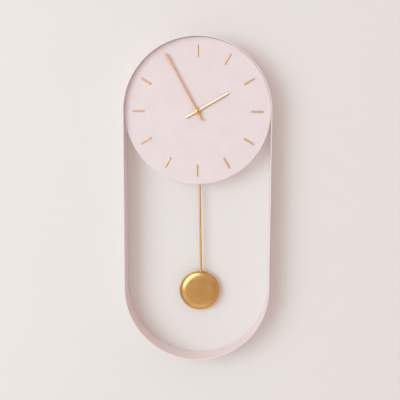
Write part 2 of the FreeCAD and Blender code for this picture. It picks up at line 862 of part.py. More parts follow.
def makeSecondsWheel():
    back = size("seconds_layer")
    width, overhang = size("wheel_width"), size("pinion_overhang")
    wheel = toothedRing(
        intermediateMesh[1],
        size("seconds_module"),
        axisSpot,
        intermediateSpot,
        "gap",
        back,
        width,
    )
    pinion = toothedRing(
        secondsMesh[0],
        thirdModule,
        axisSpot,
        thirdSpot,
        "tooth",
        back + width,
        size("third_layer") + overhang - back,
    )
    rear = value(coverFront) - size("pivot_depth") + size("end_shake")
    rearArbor = (size("arbor_radius"), rear, back - rear + size("join_overlap"))
    frontArbor = (size("cannon_bore") - size("running_gap"), back, size("seconds_arbor_reach"))
    makeWheel("seconds_wheel", axisSpot, [wheel, pinion], [rearArbor, frontArbor])


# The intermediate wheel spins on a stub moulded on the back cover.
def makeIntermediateWheel():
    width, overhang = size("wheel_width"), size("pinion_overhang")
    back = size("intermediate_layer")
    wheel = toothedRing(
        rotorMesh[1], size("rotor_module"), intermediateSpot, rotorSpot, "gap", back, width
    )
    length = size("seconds_layer") + width + overhang - back
    pinion = toothedRing(
        intermediateMesh[0], size("seconds_module"), intermediateSpot, axisSpot, "tooth", back, length
    )
    bore = (size("stub_radius") + size("running_gap"), back, length)
    makeWheel("intermediate_wheel", intermediateSpot, [wheel, pinion], bores=[bore])


def makeRotor():
    width, overhang = size("wheel_width"), size("pinion_overhang")
    pinionBack = size("intermediate_layer") - overhang
    pinion = toothedRing(
        rotorMesh[0],
        size("rotor_module"),
        rotorSpot,
        intermediateSpot,
        "tooth",
        pinionBack,
        width + 2 * overhang,
    )
    makeWheel("rotor_pinion", rotorSpot, [pinion], [betweenPivots()])
    back, length = size("magnet_layer"), size("magnet_length")
    magnet = cylinder(size("magnet_radius"), back, length, *rotorSpot)
    feature("rotor_magnet", magnet.cut(cylinder(size("arbor_radius"), back, length, *rotorSpot)))


# The knob is pressed on the rear end of the motion wheel's arbor.
def makeSettingKnob():
    body = newBody(
        "setting_knob",
        depth="sheet.case_back - sheet.knob_gap - sheet.knob_length",
        across=str(motionSpot[0]),
    )
    outline = frontSketch(body, "outline")
    addCircle(outline, "sheet.knob_radius")
    pad(body, outline, "sheet.knob_length")
    fluteSketch = frontSketch(body, "flute")
    addCircle(fluteSketch, "sheet.knob_flute_radius", None, "sheet.knob_radius")
    flute = pocket(body, fluteSketch, "sheet.knob_length")
    pattern = body.newObject("PartDesign::PolarPattern", "setting_knob_flutes")
    pattern.Originals = [flute]
    pattern.Axis = (fluteSketch, ["N_Axis"])
    pattern.Angle = 360
    pattern.Occurrences = int(size("knob_flutes"))
    body.Tip = pattern
    document.recompute()
    bore = frontSketch(body, "bore", ahead="sheet.knob_end_wall")
    addCircle(bore, "sheet.motion_arbor_radius")
    pocket(body, bore, "sheet.knob_length")


# ---- stepping motor, electronics and battery ----


def makeStator():
    back, front = size("stator_layer"), size("stator_layer") + size("stator_thickness")
    half, side = size("stator_half_width"), size("stator_side")
    low, coreTop, high = size("stator_core_bottom"), size("stator_core_top"), size("stator_top")
    bars = [
        block(-half, half, back, front, high - side, high),
        block(-half, side - half, back, front, low, high),
        block(half - side, half, back, front, low, high),
        block(-half, half, back, front, low, coreTop),
    ]
    ring = cylinder(size("stator_ring_radius"), back, front - back, *rotorSpot)
    hole = cylinder(size("stator_hole_radius"), back, front - back, *rotorSpot)
    feature("stator", bars[0].multiFuse(bars[1:] + [ring]).cut(hole).removeSplitter())


def makeStepperCoil():
    half = size("winding_length") / 2
    back, front = size("stator_layer"), size("stator_layer") + size("stator_thickness")
    low, high = size("stator_core_bottom"), size("stator_core_top")
    core = block(-half, half, back, front, low, high)
    start = point(-half, (back + front) / 2 + size("winding_offset"), (low + high) / 2)
    winding = Part.makeCylinder(size("winding_radius"), 2 * half, start, FreeCAD.Vector(1, 0, 0))
    feature("stepper_coil", winding.cut(core))


def makeCircuitBoard():
    back, front = size("board_layer"), size("board_layer") + size("board_thickness")
    left, right = size("board_left"), size("board_right")
    feature("circuit_board", block(left, right, back, front, size("board_bottom"), size("board_top")))
    radius = size("crystal_radius")
    start = point(size("crystal_across"), front + radius, size("crystal_bottom"))
    can = Part.makeCylinder(radius, size("crystal_length"), start, FreeCAD.Vector(0, 0, 1))
    feature("quartz_crystal", can)
    chipLeft, chipLow, side = size("chip_left"), size("chip_bottom"), size("chip_side")
    chip = block(chipLeft, chipLeft + side, front, front + size("chip_height"), chipLow, chipLow + side)
    feature("clock_chip", chip)


# The coil that nudges the pendulum once per swing lies against the back cover, in front of the magnet.
def makeDriveCoil():
    rise = size("pivot_rise") - size("magnet_drop")
    coil = cylinder(size("drive_coil_radius"), value(coverFront), size("drive_coil_height"), 0, rise)
    bore = cylinder(size("drive_coil_bore"), value(coverFront), size("drive_coil_height"), 0, rise)
    feature("drive_coil", coil.cut(bore))


def makeBattery():
    along = FreeCAD.Vector(0, 0, 1)
    bottom = point(size("cell_across"), size("cell_depth"), size("cell_bottom"))
    top = bottom + FreeCAD.Vector(0, 0, size("cell_length"))
    can = Part.makeCylinder(size("cell_radius"), size("cell_length"), bottom, along)
    nub = Part.makeCylinder(size("cell_nub_radius"), size("cell_nub"), top, along)
    feature("battery", can.fuse(nub))


# The plus contact is a flat blade; the minus contact has a raised round spring plate.
def makeBatteryContacts():
    across, depth, half = size("cell_across"), size("cell_depth"), size("contact_half_width")
    thickness, gap = size("contact_thickness"), size("contact_gap")
    above = size("cell_bottom") + size("cell_length") + size("cell_nub") + gap
    left, right, rear, front = across - half, across + half, depth - half, value(caseInside)
    feature("battery_contact_plus", block(left, right, rear, front, above, above + thickness))
    floor = -size("bay_bottom")
    blade = block(left, right, rear, front, floor, floor + thickness)
    rise = size("cell_bottom") - gap - floor - thickness
    base, tip = size("contact_spring_base"), size("contact_spring_tip")
    start = point(across, depth, floor + thickness)
    spring = Part.makeCone(base, tip, rise, start, FreeCAD.Vector(0, 0, 1))
    feature("battery_contact_minus", blade.fuse(spring))


# ---- pendulum ----


# A pendulum piece is drawn plumb below the pivot, then leans with the whole pendulum.
def pendulumFeature(label, shape):
    item = register(document.addObject("Part::Feature", label), label)
    item.Shape = shape
    item.Placement = FreeCAD.Placement(
        point(0, 0, size("pivot_rise") - size("hanger_rise")),
        FreeCAD.Rotation(FreeCAD.Vector(0, 1, 0), size("pendulum_lean")),
    )


def pendulumBody(label, depth):
    return newBody(label, depth=depth, rise="sheet.pivot_rise", turn="sheet.pendulum_lean")


def makePivotPin():
    rise = size("pivot_rise")
    back = size("leaf_hub_back") - size("pivot_pin_gap")
    headHeight = size("pivot_pin_head")
    shank = cylinder(size("pivot_pin_radius"), back, value(coverFront) - back, 0, rise)
    head = cylinder(size("pivot_pin_head_radius"), back - headHeight, headHeight, 0, rise)
    feature("pendulum_pivot_pin", shank.fuse(head))


# The moulded leaf hangs on the pivot pin, holds the magnet and ends in a stud for the rod's eye.
def makePendulumLeaf():
    back, thickness = size("leaf_back"), size("leaf_thickness")
    half, length = size("leaf_half_width"), size("leaf_length")
    strip = block(-half, half, back, back + thickness, -length, 0)
    hub = cylinder(size("leaf_hub_radius"), size("leaf_hub_back"), size("leaf_hub_length"))
    crown = cylinder(half, back, thickness)
    magnetRadius, magnetRise = size("drive_magnet_radius"), -size("magnet_drop")
    seat = cylinder(magnetRadius + size("magnet_rim"), back, thickness, 0, magnetRise)
    stud = cylinder(size("stud_radius"), back, thickness + size("stud_length"), 0, -size("stud_drop"))
    solid = strip.multiFuse([hub, crown, seat, stud])
    pinHole = cylinder(
        size("pivot_pin_radius") + size("running_gap"), size("leaf_hub_back"), size("leaf_hub_length")
    )
    magnetHole = cylinder(magnetRadius, back, thickness, 0, magnetRise)
    holes = Part.makeCompound([pinHole, magnetHole])
    pendulumFeature("pendulum_leaf", solid.cut(holes).removeSplitter())
    magnet = cylinder(magnetRadius, back, size("drive_magnet_length"), 0, magnetRise)
    pendulumFeature("pendulum_magnet", magnet)


# The rod hangs on the leaf's stud by a flat eye and runs down into the bob.
def makePendulumRod():
    depth, radius = size("rod_depth"), size("rod_radius")
    drop = size("stud_drop")
    eyeRadius, eyeThickness = size("rod_eye_radius"), size("rod_eye_thickness")
    eye = cylinder(eyeRadius, depth - eyeThickness / 2, eyeThickness, 0, -drop)
    top = drop + eyeRadius - size("rod_eye_bite")
    end = size("bob_drop") + size("clamp_length") / 2
    rod = Part.makeCylinder(radius, end - top, point(0, depth, -end), FreeCAD.Vector(0, 0, 1))
    hole = cylinder(size("stud_radius") + size("running_gap"), depth - radius, 2 * radius, 0, -drop)
    pendulumFeature("pendulum_rod", eye.fuse(rod).cut(hole).removeSplitter())


# Front and back of the bob are spun brass cups that meet on a seam, set a little to the left of the rod.
def makeBobFront():
    body = pendulumBody("bob_front", "sheet.bob_seam_depth")
    outline = frontSketch(body, "outline")
    addCircle(outline, "sheet.bob_radius", "sheet.bob_offset", "-sheet.bob_drop")
    disk = pad(body, outline, "sheet.bob_front_height")
    soften(body, disk, "Fillet", edgesAhead(disk, "sheet.bob_front_height"), "sheet.bob_edge_round")
    hollow(body, "0")
    rodHole = topSketch(body, "rod_hole")
    addCircle(rodHole, "sheet.rod_radius", None, "sheet.bob_seam_depth - sheet.rod_depth")
    pocket(body, rodHole, "sheet.bob_drop", forwards=False)


def makeBobBack():
    body = pendulumBody("bob_back", "sheet.bob_seam_depth - sheet.bob_back_height")
    outline = frontSketch(body, "outline")
    addCircle(outline, "sheet.bob_radius", "sheet.bob_offset", "-sheet.bob_drop")
    disk = pad(body, outline, "sheet.bob_back_height")
    soften(body, disk, "Fillet", edgesAhead(disk, "0"), "sheet.bob_back_round")
    hollow(body, "sheet.bob_back_height")


# Opens a body at the face this far ahead of its origin plane and leaves a sheet of even thickness.
def hollow(body, ahead):
    base = body.Tip
    names = [
        f"Face{index}"
        for index, face in enumerate(base.Shape.Faces, start=1)
        if all(abs(vertex.Point.y + value(ahead)) < tolerance for vertex in face.Vertexes)
    ]
    shell = body.newObject("PartDesign::Thickness", f"{body.Name}_sheet")
    shell.Base = (base, names)
    shell.Reversed = True
    shell.setExpression("Value", "sheet.bob_wall")
    document.recompute()


# A block inside the bob grips the rod.
def makeRodClamp():
    half, length = size("clamp_half_width"), size("clamp_length")
    thickness, depth, drop = size("clamp_thickness"), size("rod_depth"), size("bob_drop")
    back, front = depth - thickness / 2, depth + thickness / 2
    low, high = -drop - length / 2, -drop + length / 2
    grip = block(-half, half, back, front, low, high)
    rod = Part.makeCylinder(size("rod_radius"), length, point(0, depth, low), FreeCAD.Vector(0, 0, 1))
    pendulumFeature("rod_clamp", grip.cut(rod))


makeFrameBand()
makeHangerPlate()
makeDial()
makeDialTabs()
makeHourMarkers()
makeHand("hour_hand", "hour", "sheet.ferrule_radius")
makeHourFerrule()
makeHand("minute_hand", "minute", "sheet.cannon_radius")
makeHandNut()
makeShaftBushing()
makeFixingNut()
disc(
    "fixing_washer",
    "sheet.washer_radius",
    "sheet.washer_thickness",
    bore="sheet.bushing_radius",
    depth=dialFront,
)
disc(
    "rubber_gasket",
    "sheet.gasket_radius",
    "sheet.gasket_thickness",
    bore="sheet.bushing_radius",
    depth=caseFront,
)
makeMovementCase()
makeBackCover()
makeCoverScrews()
makeTrainPlate()
makeHourWheel()
makeMotionWheel()
makeCannonPinion()
makeCentreWheel()
makeThirdWheel()
makeSecondsWheel()
makeIntermediateWheel()
makeRotor()
makeSettingKnob()
makeStator()
makeStepperCoil()
makeCircuitBoard()
makeDriveCoil()
makeBattery()
makeBatteryContacts()
makePivotPin()
makePendulumLeaf()
makePendulumRod()
makeBobFront()
makeBobBack()
makeRodClamp()

document.recompute()
for item in document.Objects:
    if {"Invalid", "Error"} & set(item.State):
        raise RuntimeError(f"{item.Name} failed: {item.State}")
os.makedirs("parts", exist_ok=True)
for node in nodes:
    if node.Shape.isNull() or not node.Shape.isValid():
        raise RuntimeError(f"{node.Label} has no valid shape")
    node.Shape.exportStep(f"parts/{node.Label}.step")
print(len(nodes), "sub-parts written")
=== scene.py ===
import json
import math

import bmesh
import bpy
from mathutils import Matrix, Vector

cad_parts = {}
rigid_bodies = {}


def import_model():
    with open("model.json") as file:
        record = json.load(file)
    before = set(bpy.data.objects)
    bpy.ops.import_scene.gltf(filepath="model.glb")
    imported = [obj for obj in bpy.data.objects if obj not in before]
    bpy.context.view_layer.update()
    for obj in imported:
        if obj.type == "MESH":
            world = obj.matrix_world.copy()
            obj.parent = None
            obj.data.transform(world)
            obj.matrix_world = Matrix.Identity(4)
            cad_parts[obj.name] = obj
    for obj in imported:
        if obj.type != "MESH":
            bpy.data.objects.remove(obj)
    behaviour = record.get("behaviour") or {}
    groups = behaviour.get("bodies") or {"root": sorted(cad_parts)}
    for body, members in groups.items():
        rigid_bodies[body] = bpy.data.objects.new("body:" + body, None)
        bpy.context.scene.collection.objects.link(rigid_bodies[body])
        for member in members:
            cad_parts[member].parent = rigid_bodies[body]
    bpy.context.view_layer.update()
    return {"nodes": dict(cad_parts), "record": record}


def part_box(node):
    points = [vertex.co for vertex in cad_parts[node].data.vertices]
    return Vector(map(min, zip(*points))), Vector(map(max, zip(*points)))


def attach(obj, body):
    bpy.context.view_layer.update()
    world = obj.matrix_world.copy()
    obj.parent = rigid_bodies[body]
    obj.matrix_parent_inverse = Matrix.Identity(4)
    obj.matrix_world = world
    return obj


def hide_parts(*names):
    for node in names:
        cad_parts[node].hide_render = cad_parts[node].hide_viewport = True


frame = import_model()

nodes = frame["nodes"]
mm = 0.001               # everything in Blender is in metres

# places that many pieces share, read from the frame
bandLow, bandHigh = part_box("frame_band")
dialLow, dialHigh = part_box("dial")
bandRadius = bandHigh.x
dialCentre = Vector((0, dialLow.y, bandHigh.z - bandRadius))      # on the dial's front face
lowerCentre = Vector((0, dialLow.y, bandLow.z + bandRadius))
rearOfBand = bandHigh.y
frontOfBand = bandLow.y

# small tools


def linearColour(hexValue, alpha=1.0):
    # sRGB hex to the linear values that shaders take
    channels = [int(hexValue[i:i + 2], 16) / 255 for i in (1, 3, 5)]
    linear = [c / 12.92 if c <= 0.04045 else ((c + 0.055) / 1.055) ** 2.4 for c in channels]
    return (*linear, alpha)


def addNode(tree, kind, settings=None, **inputs):
    # inputs are named by socket, spaces as underscores, and each is a value or another node's output
    node = tree.nodes.new("ShaderNode" + kind)
    for name, setting in (settings or {}).items():
        setattr(node, name, setting)
    for name, given in inputs.items():
        key = int(name[1:]) if name[0] == "i" and name[1:].isdigit() else name.replace("_", " ")
        if isinstance(given, bpy.types.NodeSocket):
            tree.links.new(given, node.inputs[key])
        else:
            node.inputs[key].default_value = given
    return node


def newMaterial(name, **shaderValues):
    material = bpy.data.materials.new(name)
    material.use_nodes = True
    tree = material.node_tree
    shader = tree.nodes["Principled BSDF"]
    for key, given in shaderValues.items():
        shader.inputs[key.replace("_", " ")].default_value = given
    return material, tree, shader


def setRamp(ramp, stops):
    # stops are (position, colour); the ramp starts with two elements
    elements = ramp.color_ramp.elements
    while len(elements) < len(stops):
        elements.new(0.5)
    for element, (position, colour) in zip(elements, stops):
        element.position = position
        element.color = colour


def scaled(tree, perMillimetre):
    # object coordinates in metres, turned into pattern units of so many per millimetre
    coordinates = addNode(tree, "TexCoord").outputs["Object"]
    factor = perMillimetre / mm
    return addNode(tree, "Mapping", Vector=coordinates, Scale=(factor, factor, factor)).outputs["Vector"]


# materials

coatLook = {
    "band": "#EEDFDF",           # rose powder coat
    "dial": "#EBDDDE",
    "cloudsPerMillimetre": 0.03,     # patches of slightly different tone
    "cloudDepth": 0.965,         # how dark a patch gets, as a share of the colour
    "peelSize": 0.9,             # millimetres between the bumps of the cured powder
    "peelDepth": 0.012 * mm,
    "peelStrength": 0.35,
    "roughness": 0.46,
    "dialRoughness": 0.56,       # the dial is sprayed matter than the band
    "roughnessSpread": (-0.05, 0.06),
}


def powderCoat(name, hexValue, roughness):
    # polyester powder coat, sprayed and baked: faint orange peel, a soft sheen and tiny tone changes
    material, tree, shader = newMaterial(name, IOR=1.5)
    colour = linearColour(hexValue)
    shade = tuple(c * coatLook["cloudDepth"] for c in colour[:3]) + (1,)
    cloud = addNode(
        tree, "TexNoise", Vector=scaled(tree, coatLook["cloudsPerMillimetre"]), Scale=1.0, Detail=3.0
    )
    tone = addNode(tree, "ValToRGB", Fac=cloud.outputs["Fac"])
    setRamp(tone, [(0.35, shade), (0.65, colour)])
    tree.links.new(tone.outputs["Color"], shader.inputs["Base Color"])
    peel = addNode(tree, "TexNoise", Vector=scaled(tree, 1 / coatLook["peelSize"]), Scale=1.0, Detail=2.0)
    smoother, rougher = (roughness + change for change in coatLook["roughnessSpread"])
    gloss = addNode(tree, "MapRange", Value=peel.outputs["Fac"], To_Min=smoother, To_Max=rougher)
    tree.links.new(gloss.outputs["Result"], shader.inputs["Roughness"])
    bump = addNode(
        tree,
        "Bump",
        Height=peel.outputs["Fac"],
        Strength=coatLook["peelStrength"],
        Distance=coatLook["peelDepth"],
    )
    tree.links.new(bump.outputs["Normal"], shader.inputs["Normal"])
    return material


plateLook = {
    "markers": ("#DFC09A", "#E9CDA8"),
    "hands": ("#DEB697", "#EAC5A8"),      # a redder plating bath than the markers
    "grainsPerMillimetre": 3.0,
    "grainStrength": 0.2,
    "grainDepth": 0.01 * mm,
    "roughness": (0.28, 0.4),
}


def satinRoseGold(name, dark, light):
    # zinc alloy, brushed then plated in rose gold: a soft metal glow with a fine grain
    material, tree, shader = newMaterial(name, Metallic=1.0)
    grain = addNode(
        tree, "TexNoise", Vector=scaled(tree, plateLook["grainsPerMillimetre"]), Scale=1.0, Detail=3.0
    )
    tone = addNode(tree, "ValToRGB", Fac=grain.outputs["Fac"])
    setRamp(tone, [(0.3, linearColour(dark)), (0.7, linearColour(light))])
    tree.links.new(tone.outputs["Color"], shader.inputs["Base Color"])
    smoother, rougher = plateLook["roughness"]
    gloss = addNode(tree, "MapRange", Value=grain.outputs["Fac"], To_Min=smoother, To_Max=rougher)
    tree.links.new(gloss.outputs["Result"], shader.inputs["Roughness"])
    bump = addNode(
        tree,
        "Bump",
        Height=grain.outputs["Fac"],
        Strength=plateLook["grainStrength"],
        Distance=plateLook["grainDepth"],
    )
    tree.links.new(bump.outputs["Normal"], shader.inputs["Normal"])
    return material


brassLook = {
    "tones": ("#CC9B56", "#D3A460"),
    "ringPitch": 0.6 * mm,       # real spinning rings are nearer 0.1 mm, too fine to show
    "ringStrength": 0.12,
    "ringDepth": 0.01 * mm,
    "roughness": (0.26, 0.36),
    "lacquer": 0.7,              # share of the face under the clear coat
    "lacquerRoughness": 0.25,
    "cloudsPerMillimetre": 0.06,     # patches of slightly different tone
}


def spunBrass(name, centre):
    # brass sheet spun on a lathe, satined and lacquered: a warm glow with faint rings under a clear coat
    material, tree, shader = newMaterial(
        name,
        Metallic=1.0,
        Coat_Weight=brassLook["lacquer"],
        Coat_Roughness=brassLook["lacquerRoughness"],
    )
    coordinates = addNode(tree, "TexCoord").outputs["Object"]
    shifted = addNode(
        tree, "VectorMath", {"operation": "SUBTRACT"}, i0=coordinates, i1=tuple(centre)
    )
    flat = addNode(
        tree, "VectorMath", {"operation": "MULTIPLY"}, i0=shifted.outputs["Vector"], i1=(1, 0, 1)
    )
    reach = addNode(tree, "VectorMath", {"operation": "LENGTH"}, i0=flat.outputs["Vector"])
    turns = addNode(
        tree, "Math", {"operation": "MULTIPLY"}, i0=reach.outputs["Value"], i1=1 / brassLook["ringPitch"]
    )
    rings = addNode(tree, "TexNoise", {"noise_dimensions": "1D"}, W=turns.outputs["Value"], Detail=2.0)
    cloud = addNode(
        tree, "TexNoise", Vector=scaled(tree, brassLook["cloudsPerMillimetre"]), Scale=1.0, Detail=2.0
    )
    tone = addNode(tree, "ValToRGB", Fac=cloud.outputs["Fac"])
    dark, light = brassLook["tones"]
    setRamp(tone, [(0.35, linearColour(dark)), (0.65, linearColour(light))])
    tree.links.new(tone.outputs["Color"], shader.inputs["Base Color"])
    smoother, rougher = brassLook["roughness"]
    gloss = addNode(tree, "MapRange", Value=rings.outputs["Fac"], To_Min=smoother, To_Max=rougher)
    tree.links.new(gloss.outputs["Result"], shader.inputs["Roughness"])
    bump = addNode(
        tree,
        "Bump",
        Height=rings.outputs["Fac"],
        Strength=brassLook["ringStrength"],
        Distance=brassLook["ringDepth"],
    )
    tree.links.new(bump.outputs["Normal"], shader.inputs["Normal"])
    return material


def metalFinish(name, dark, light, roughness, grainSize):
    # a plain worked metal: two tones of one colour and a grain of the given size in millimetres
    material, tree, shader = newMaterial(name, Metallic=1.0)
    grain = addNode(tree, "TexNoise", Vector=scaled(tree, 1 / grainSize), Scale=1.0, Detail=4.0)
    tone = addNode(tree, "ValToRGB", Fac=grain.outputs["Fac"])
    setRamp(tone, [(0.3, linearColour(dark)), (0.7, linearColour(light))])
    tree.links.new(tone.outputs["Color"], shader.inputs["Base Color"])
    gloss = addNode(
        tree, "MapRange", Value=grain.outputs["Fac"], To_Min=roughness - 0.06, To_Max=roughness + 0.08
    )
    tree.links.new(gloss.outputs["Result"], shader.inputs["Roughness"])
    bump = addNode(tree, "Bump", Height=grain.outputs["Fac"], Strength=0.2, Distance=0.01 * mm)
    tree.links.new(bump.outputs["Normal"], shader.inputs["Normal"])
    return material


def mouldedFinish(name, dark, light, roughness, grainSize, depth, ior=1.5):
    # plastic or rubber from a spark-eroded mould: an even fine grain of the given size in millimetres
    material, tree, shader = newMaterial(name, IOR=ior)
    grain = addNode(tree, "TexVoronoi", Vector=scaled(tree, 1 / grainSize), Scale=1.0)
    cloud = addNode(tree, "TexNoise", Vector=scaled(tree, 0.15), Scale=1.0, Detail=3.0)
    tone = addNode(tree, "ValToRGB", Fac=cloud.outputs["Fac"])
    setRamp(tone, [(0.3, linearColour(dark)), (0.7, linearColour(light))])
    tree.links.new(tone.outputs["Color"], shader.inputs["Base Color"])
    gloss = addNode(
        tree, "MapRange", Value=grain.outputs["Distance"], To_Min=roughness - 0.05, To_Max=roughness + 0.08
    )
    tree.links.new(gloss.outputs["Result"], shader.inputs["Roughness"])
    bump = addNode(tree, "Bump", Height=grain.outputs["Distance"], Strength=0.3, Distance=depth)
    tree.links.new(bump.outputs["Normal"], shader.inputs["Normal"])
    return material


windingLook = {
    # the dark tone is painted shade for the grooves between turns; the light tone is the wire's own copper
    "tones": ("#6E2F14", "#C56B3A"),
    "wirePitch": 0.25,           # millimetres; real wire is nearer 0.05 mm, too fine to show
    "bandScale": 0.159,          # makes one band of the wave pattern one unit wide
}


def enamelledCopper(name):
    # fine enamelled wire wound in layers: reddish and shiny, with close turns side by side; the grooves
    # between turns are painted darker as painted shade
    material, tree, shader = newMaterial(name, Metallic=1.0, Coat_Weight=0.6, Coat_Roughness=0.12)
    wave = addNode(
        tree,
        "TexWave",
        {"bands_direction": "X"},
        Vector=scaled(tree, 1 / windingLook["wirePitch"]),
        Scale=windingLook["bandScale"],
        Distortion=0.4,
    )
    tone = addNode(tree, "ValToRGB", Fac=wave.outputs["Fac"])
    dark, light = windingLook["tones"]
    # the colour follows the same wave as the bump: darkest in the grooves, where painted shade stands in for
    # the shade between turns
    setRamp(tone, [(0.1, linearColour(dark)), (0.8, linearColour(light))])
    tree.links.new(tone.outputs["Color"], shader.inputs["Base Color"])
    shader.inputs["Roughness"].default_value = 0.3
    bump = addNode(tree, "Bump", Height=wave.outputs["Fac"], Strength=0.5, Distance=0.05 * mm)
    tree.links.new(bump.outputs["Normal"], shader.inputs["Normal"])
    return material


def solderMask(name):
    # glass-epoxy board under green solder mask, with copper tracks showing as lighter paths
    material, tree, shader = newMaterial(name, IOR=1.52, Coat_Weight=0.4, Coat_Roughness=0.2)
    cells = addNode(
        tree, "TexVoronoi", {"feature": "DISTANCE_TO_EDGE"}, Vector=scaled(tree, 0.3), Scale=1.0
    )
    tone = addNode(tree, "ValToRGB", Fac=cells.outputs["Distance"])
    setRamp(tone, [(0.06, linearColour("#2E7A45")), (0.1, linearColour("#14502B"))])
    tree.links.new(tone.outputs["Color"], shader.inputs["Base Color"])
    shader.inputs["Roughness"].default_value = 0.35
    bump = addNode(tree, "Bump", Height=cells.outputs["Distance"], Strength=0.2, Distance=0.03 * mm)
    tree.links.new(bump.outputs["Normal"], shader.inputs["Normal"])
    return material


batteryLook = {
    "film": ("#17181B", "#222428"),
    "bandFilm": ("#A9683A", "#B8774A"),
    "cap": ("#BDB9B0", "#DAD7CF"),
    "footHeight": 1.6 * mm,      # bare steel below the film
    "headHeight": 2.56 * mm,     # bare steel above it, with the nub
    "bandShare": 0.27,           # how much of the length the copper-coloured film covers
}


def batteryFilm(name):
    # an AA cell in glossy shrink film, black with a copper-coloured end, and bare nickelled caps
    material, tree, shader = newMaterial(name, Roughness=0.24)
    low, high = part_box("battery")
    footShare = batteryLook["footHeight"] / (high.z - low.z)
    headShare = batteryLook["headHeight"] / (high.z - low.z)
    place = addNode(tree, "TexCoord").outputs["Object"]
    rise = addNode(tree, "SeparateXYZ", Vector=place).outputs["Z"]
    along = addNode(tree, "MapRange", Value=rise, From_Min=low.z, From_Max=high.z).outputs["Result"]
    cloud = addNode(tree, "TexNoise", Vector=scaled(tree, 0.4), Scale=1.0, Detail=3.0).outputs["Fac"]
    tones = []
    for dark, light in (batteryLook["cap"], batteryLook["film"], batteryLook["bandFilm"]):
        tone = addNode(tree, "ValToRGB", Fac=cloud)
        setRamp(tone, [(0.3, linearColour(dark)), (0.7, linearColour(light))])
        tones.append(tone.outputs["Color"])
    inBand = addNode(tree, "Math", {"operation": "GREATER_THAN"}, i0=along, i1=1 - batteryLook["bandShare"])
    film = addNode(tree, "Mix", {"data_type": "RGBA"}, i0=inBand.outputs[0], i6=tones[1], i7=tones[2])
    under = addNode(tree, "Math", {"operation": "LESS_THAN"}, i0=along, i1=footShare)
    over = addNode(tree, "Math", {"operation": "GREATER_THAN"}, i0=along, i1=1 - headShare)
    bare = addNode(tree, "Math", {"operation": "MAXIMUM"}, i0=under.outputs[0], i1=over.outputs[0])
    mix = addNode(tree, "Mix", {"data_type": "RGBA"}, i0=bare.outputs[0], i6=film.outputs[2], i7=tones[0])
    tree.links.new(mix.outputs[2], shader.inputs["Base Color"])
    tree.links.new(bare.outputs[0], shader.inputs["Metallic"])
    bump = addNode(tree, "Bump", Height=cloud, Strength=0.15, Distance=0.02 * mm)
    tree.links.new(bump.outputs["Normal"], shader.inputs["Normal"])
    return material


def wallPaint(name, hexValue):
    # emulsion rolled on plaster: matt, a faint stipple; the side behind it is left see-through
    material, tree, shader = newMaterial(name, Roughness=0.9)
    shader.inputs["Base Color"].default_value = linearColour(hexValue)
    stipple = addNode(tree, "TexNoise", Vector=scaled(tree, 0.5), Scale=1.0, Detail=3.0)
    bump = addNode(tree, "Bump", Height=stipple.outputs["Fac"], Strength=0.08, Distance=0.1 * mm)
    tree.links.new(bump.outputs["Normal"], shader.inputs["Normal"])
    clear = addNode(tree, "BsdfTransparent")
    side = addNode(tree, "NewGeometry").outputs["Backfacing"]
    mix = addNode(tree, "MixShader", Fac=side, i1=shader.outputs["BSDF"], i2=clear.outputs["BSDF"])
    tree.links.new(mix.outputs["Shader"], tree.nodes["Material Output"].inputs["Surface"])
    return material


bobLow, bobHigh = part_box("bob_front")
bobCentre = Vector(((bobLow.x + bobHigh.x) / 2, bobHigh.y, (bobLow.z + bobHigh.z) / 2))

finishes = {
    "powder_coat_rose": powderCoat("rosePowderCoat", coatLook["band"], coatLook["roughness"]),
    "dial_rose": powderCoat("roseDialCoat", coatLook["dial"], coatLook["dialRoughness"]),
    "rose_gold_satin": satinRoseGold("satinRoseGoldPlate", *plateLook["markers"]),
    "cap_brass": metalFinish("polishedBrass", "#D2B026", "#EFD64E", roughness=0.16, grainSize=1.2),
    "bob_brass": spunBrass("spunLacqueredBrass", bobCentre),
    "turned_brass": metalFinish("turnedBrass", "#B08E4A", "#D9BA73", roughness=0.28, grainSize=0.5),
    "zinc_steel": metalFinish("zincPlatedSteel", "#A9ABAE", "#D2D4D6", roughness=0.34, grainSize=2.5),
    "case_plastic": mouldedFinish(
        "blackAbs", "#121214", "#1B1B1E", roughness=0.42, grainSize=0.35, depth=0.02 * mm
    ),
    "gear_plastic": mouldedFinish(
        "creamAcetal", "#DAD6C6", "#ECE8DA", roughness=0.32, grainSize=0.8, depth=0.01 * mm, ior=1.48
    ),
    "black_rubber": mouldedFinish(
        "nitrileRubber", "#131313", "#1D1C1C", roughness=0.62, grainSize=0.3, depth=0.03 * mm, ior=1.52
    ),
    "copper_winding": enamelledCopper("enamelledCopperWire"),
    "board_laminate": solderMask("greenSolderMask"),
    "chip_epoxy": mouldedFinish(
        "mouldedEpoxy", "#0E0E10", "#1A1A1C", roughness=0.5, grainSize=0.25, depth=0.01 * mm
    ),
    "nickel_steel": metalFinish("nickelPlatedSteel", "#B9B4AA", "#DDD8CE", roughness=0.2, grainSize=1.8),
    "magnet_ferrite": metalFinish("sinteredFerrite", "#2A2A2C", "#47474A", roughness=0.5, grainSize=0.4),
    "battery_wrap": batteryFilm("shrinkFilmOnSteel"),
}
handFinish = satinRoseGold("satinRoseGoldHands", *plateLook["hands"])
print("materials made:", len(finishes) + 1)

# every CAD node starts with the finish of its own slot
slotOf = {part["node"]: part["material_slot"] for part in frame["record"]["subparts"]}
for nodeName, slotName in slotOf.items():
    mesh = nodes[nodeName].data
    mesh.materials.clear()
    mesh.materials.append(finishes[slotName])

# mesh tools


def newPiece(name, vertices, faces, body, slotName, replaced=(), smooth=True):
    mesh = bpy.data.meshes.new(name)
    mesh.from_pydata([tuple(v) for v in vertices], [], faces)
    mesh.validate()
    work = bmesh.new()
    work.from_mesh(mesh)
    bmesh.ops.recalc_face_normals(work, faces=work.faces)
    work.to_mesh(mesh)
    work.free()
    for polygon in mesh.polygons:
        polygon.use_smooth = smooth
    piece = bpy.data.objects.new(name, mesh)
    bpy.context.scene.collection.objects.link(piece)
    mesh.materials.append(finishes[slotName])
    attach(piece, body)
    if replaced:
        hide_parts(*replaced)
    return piece


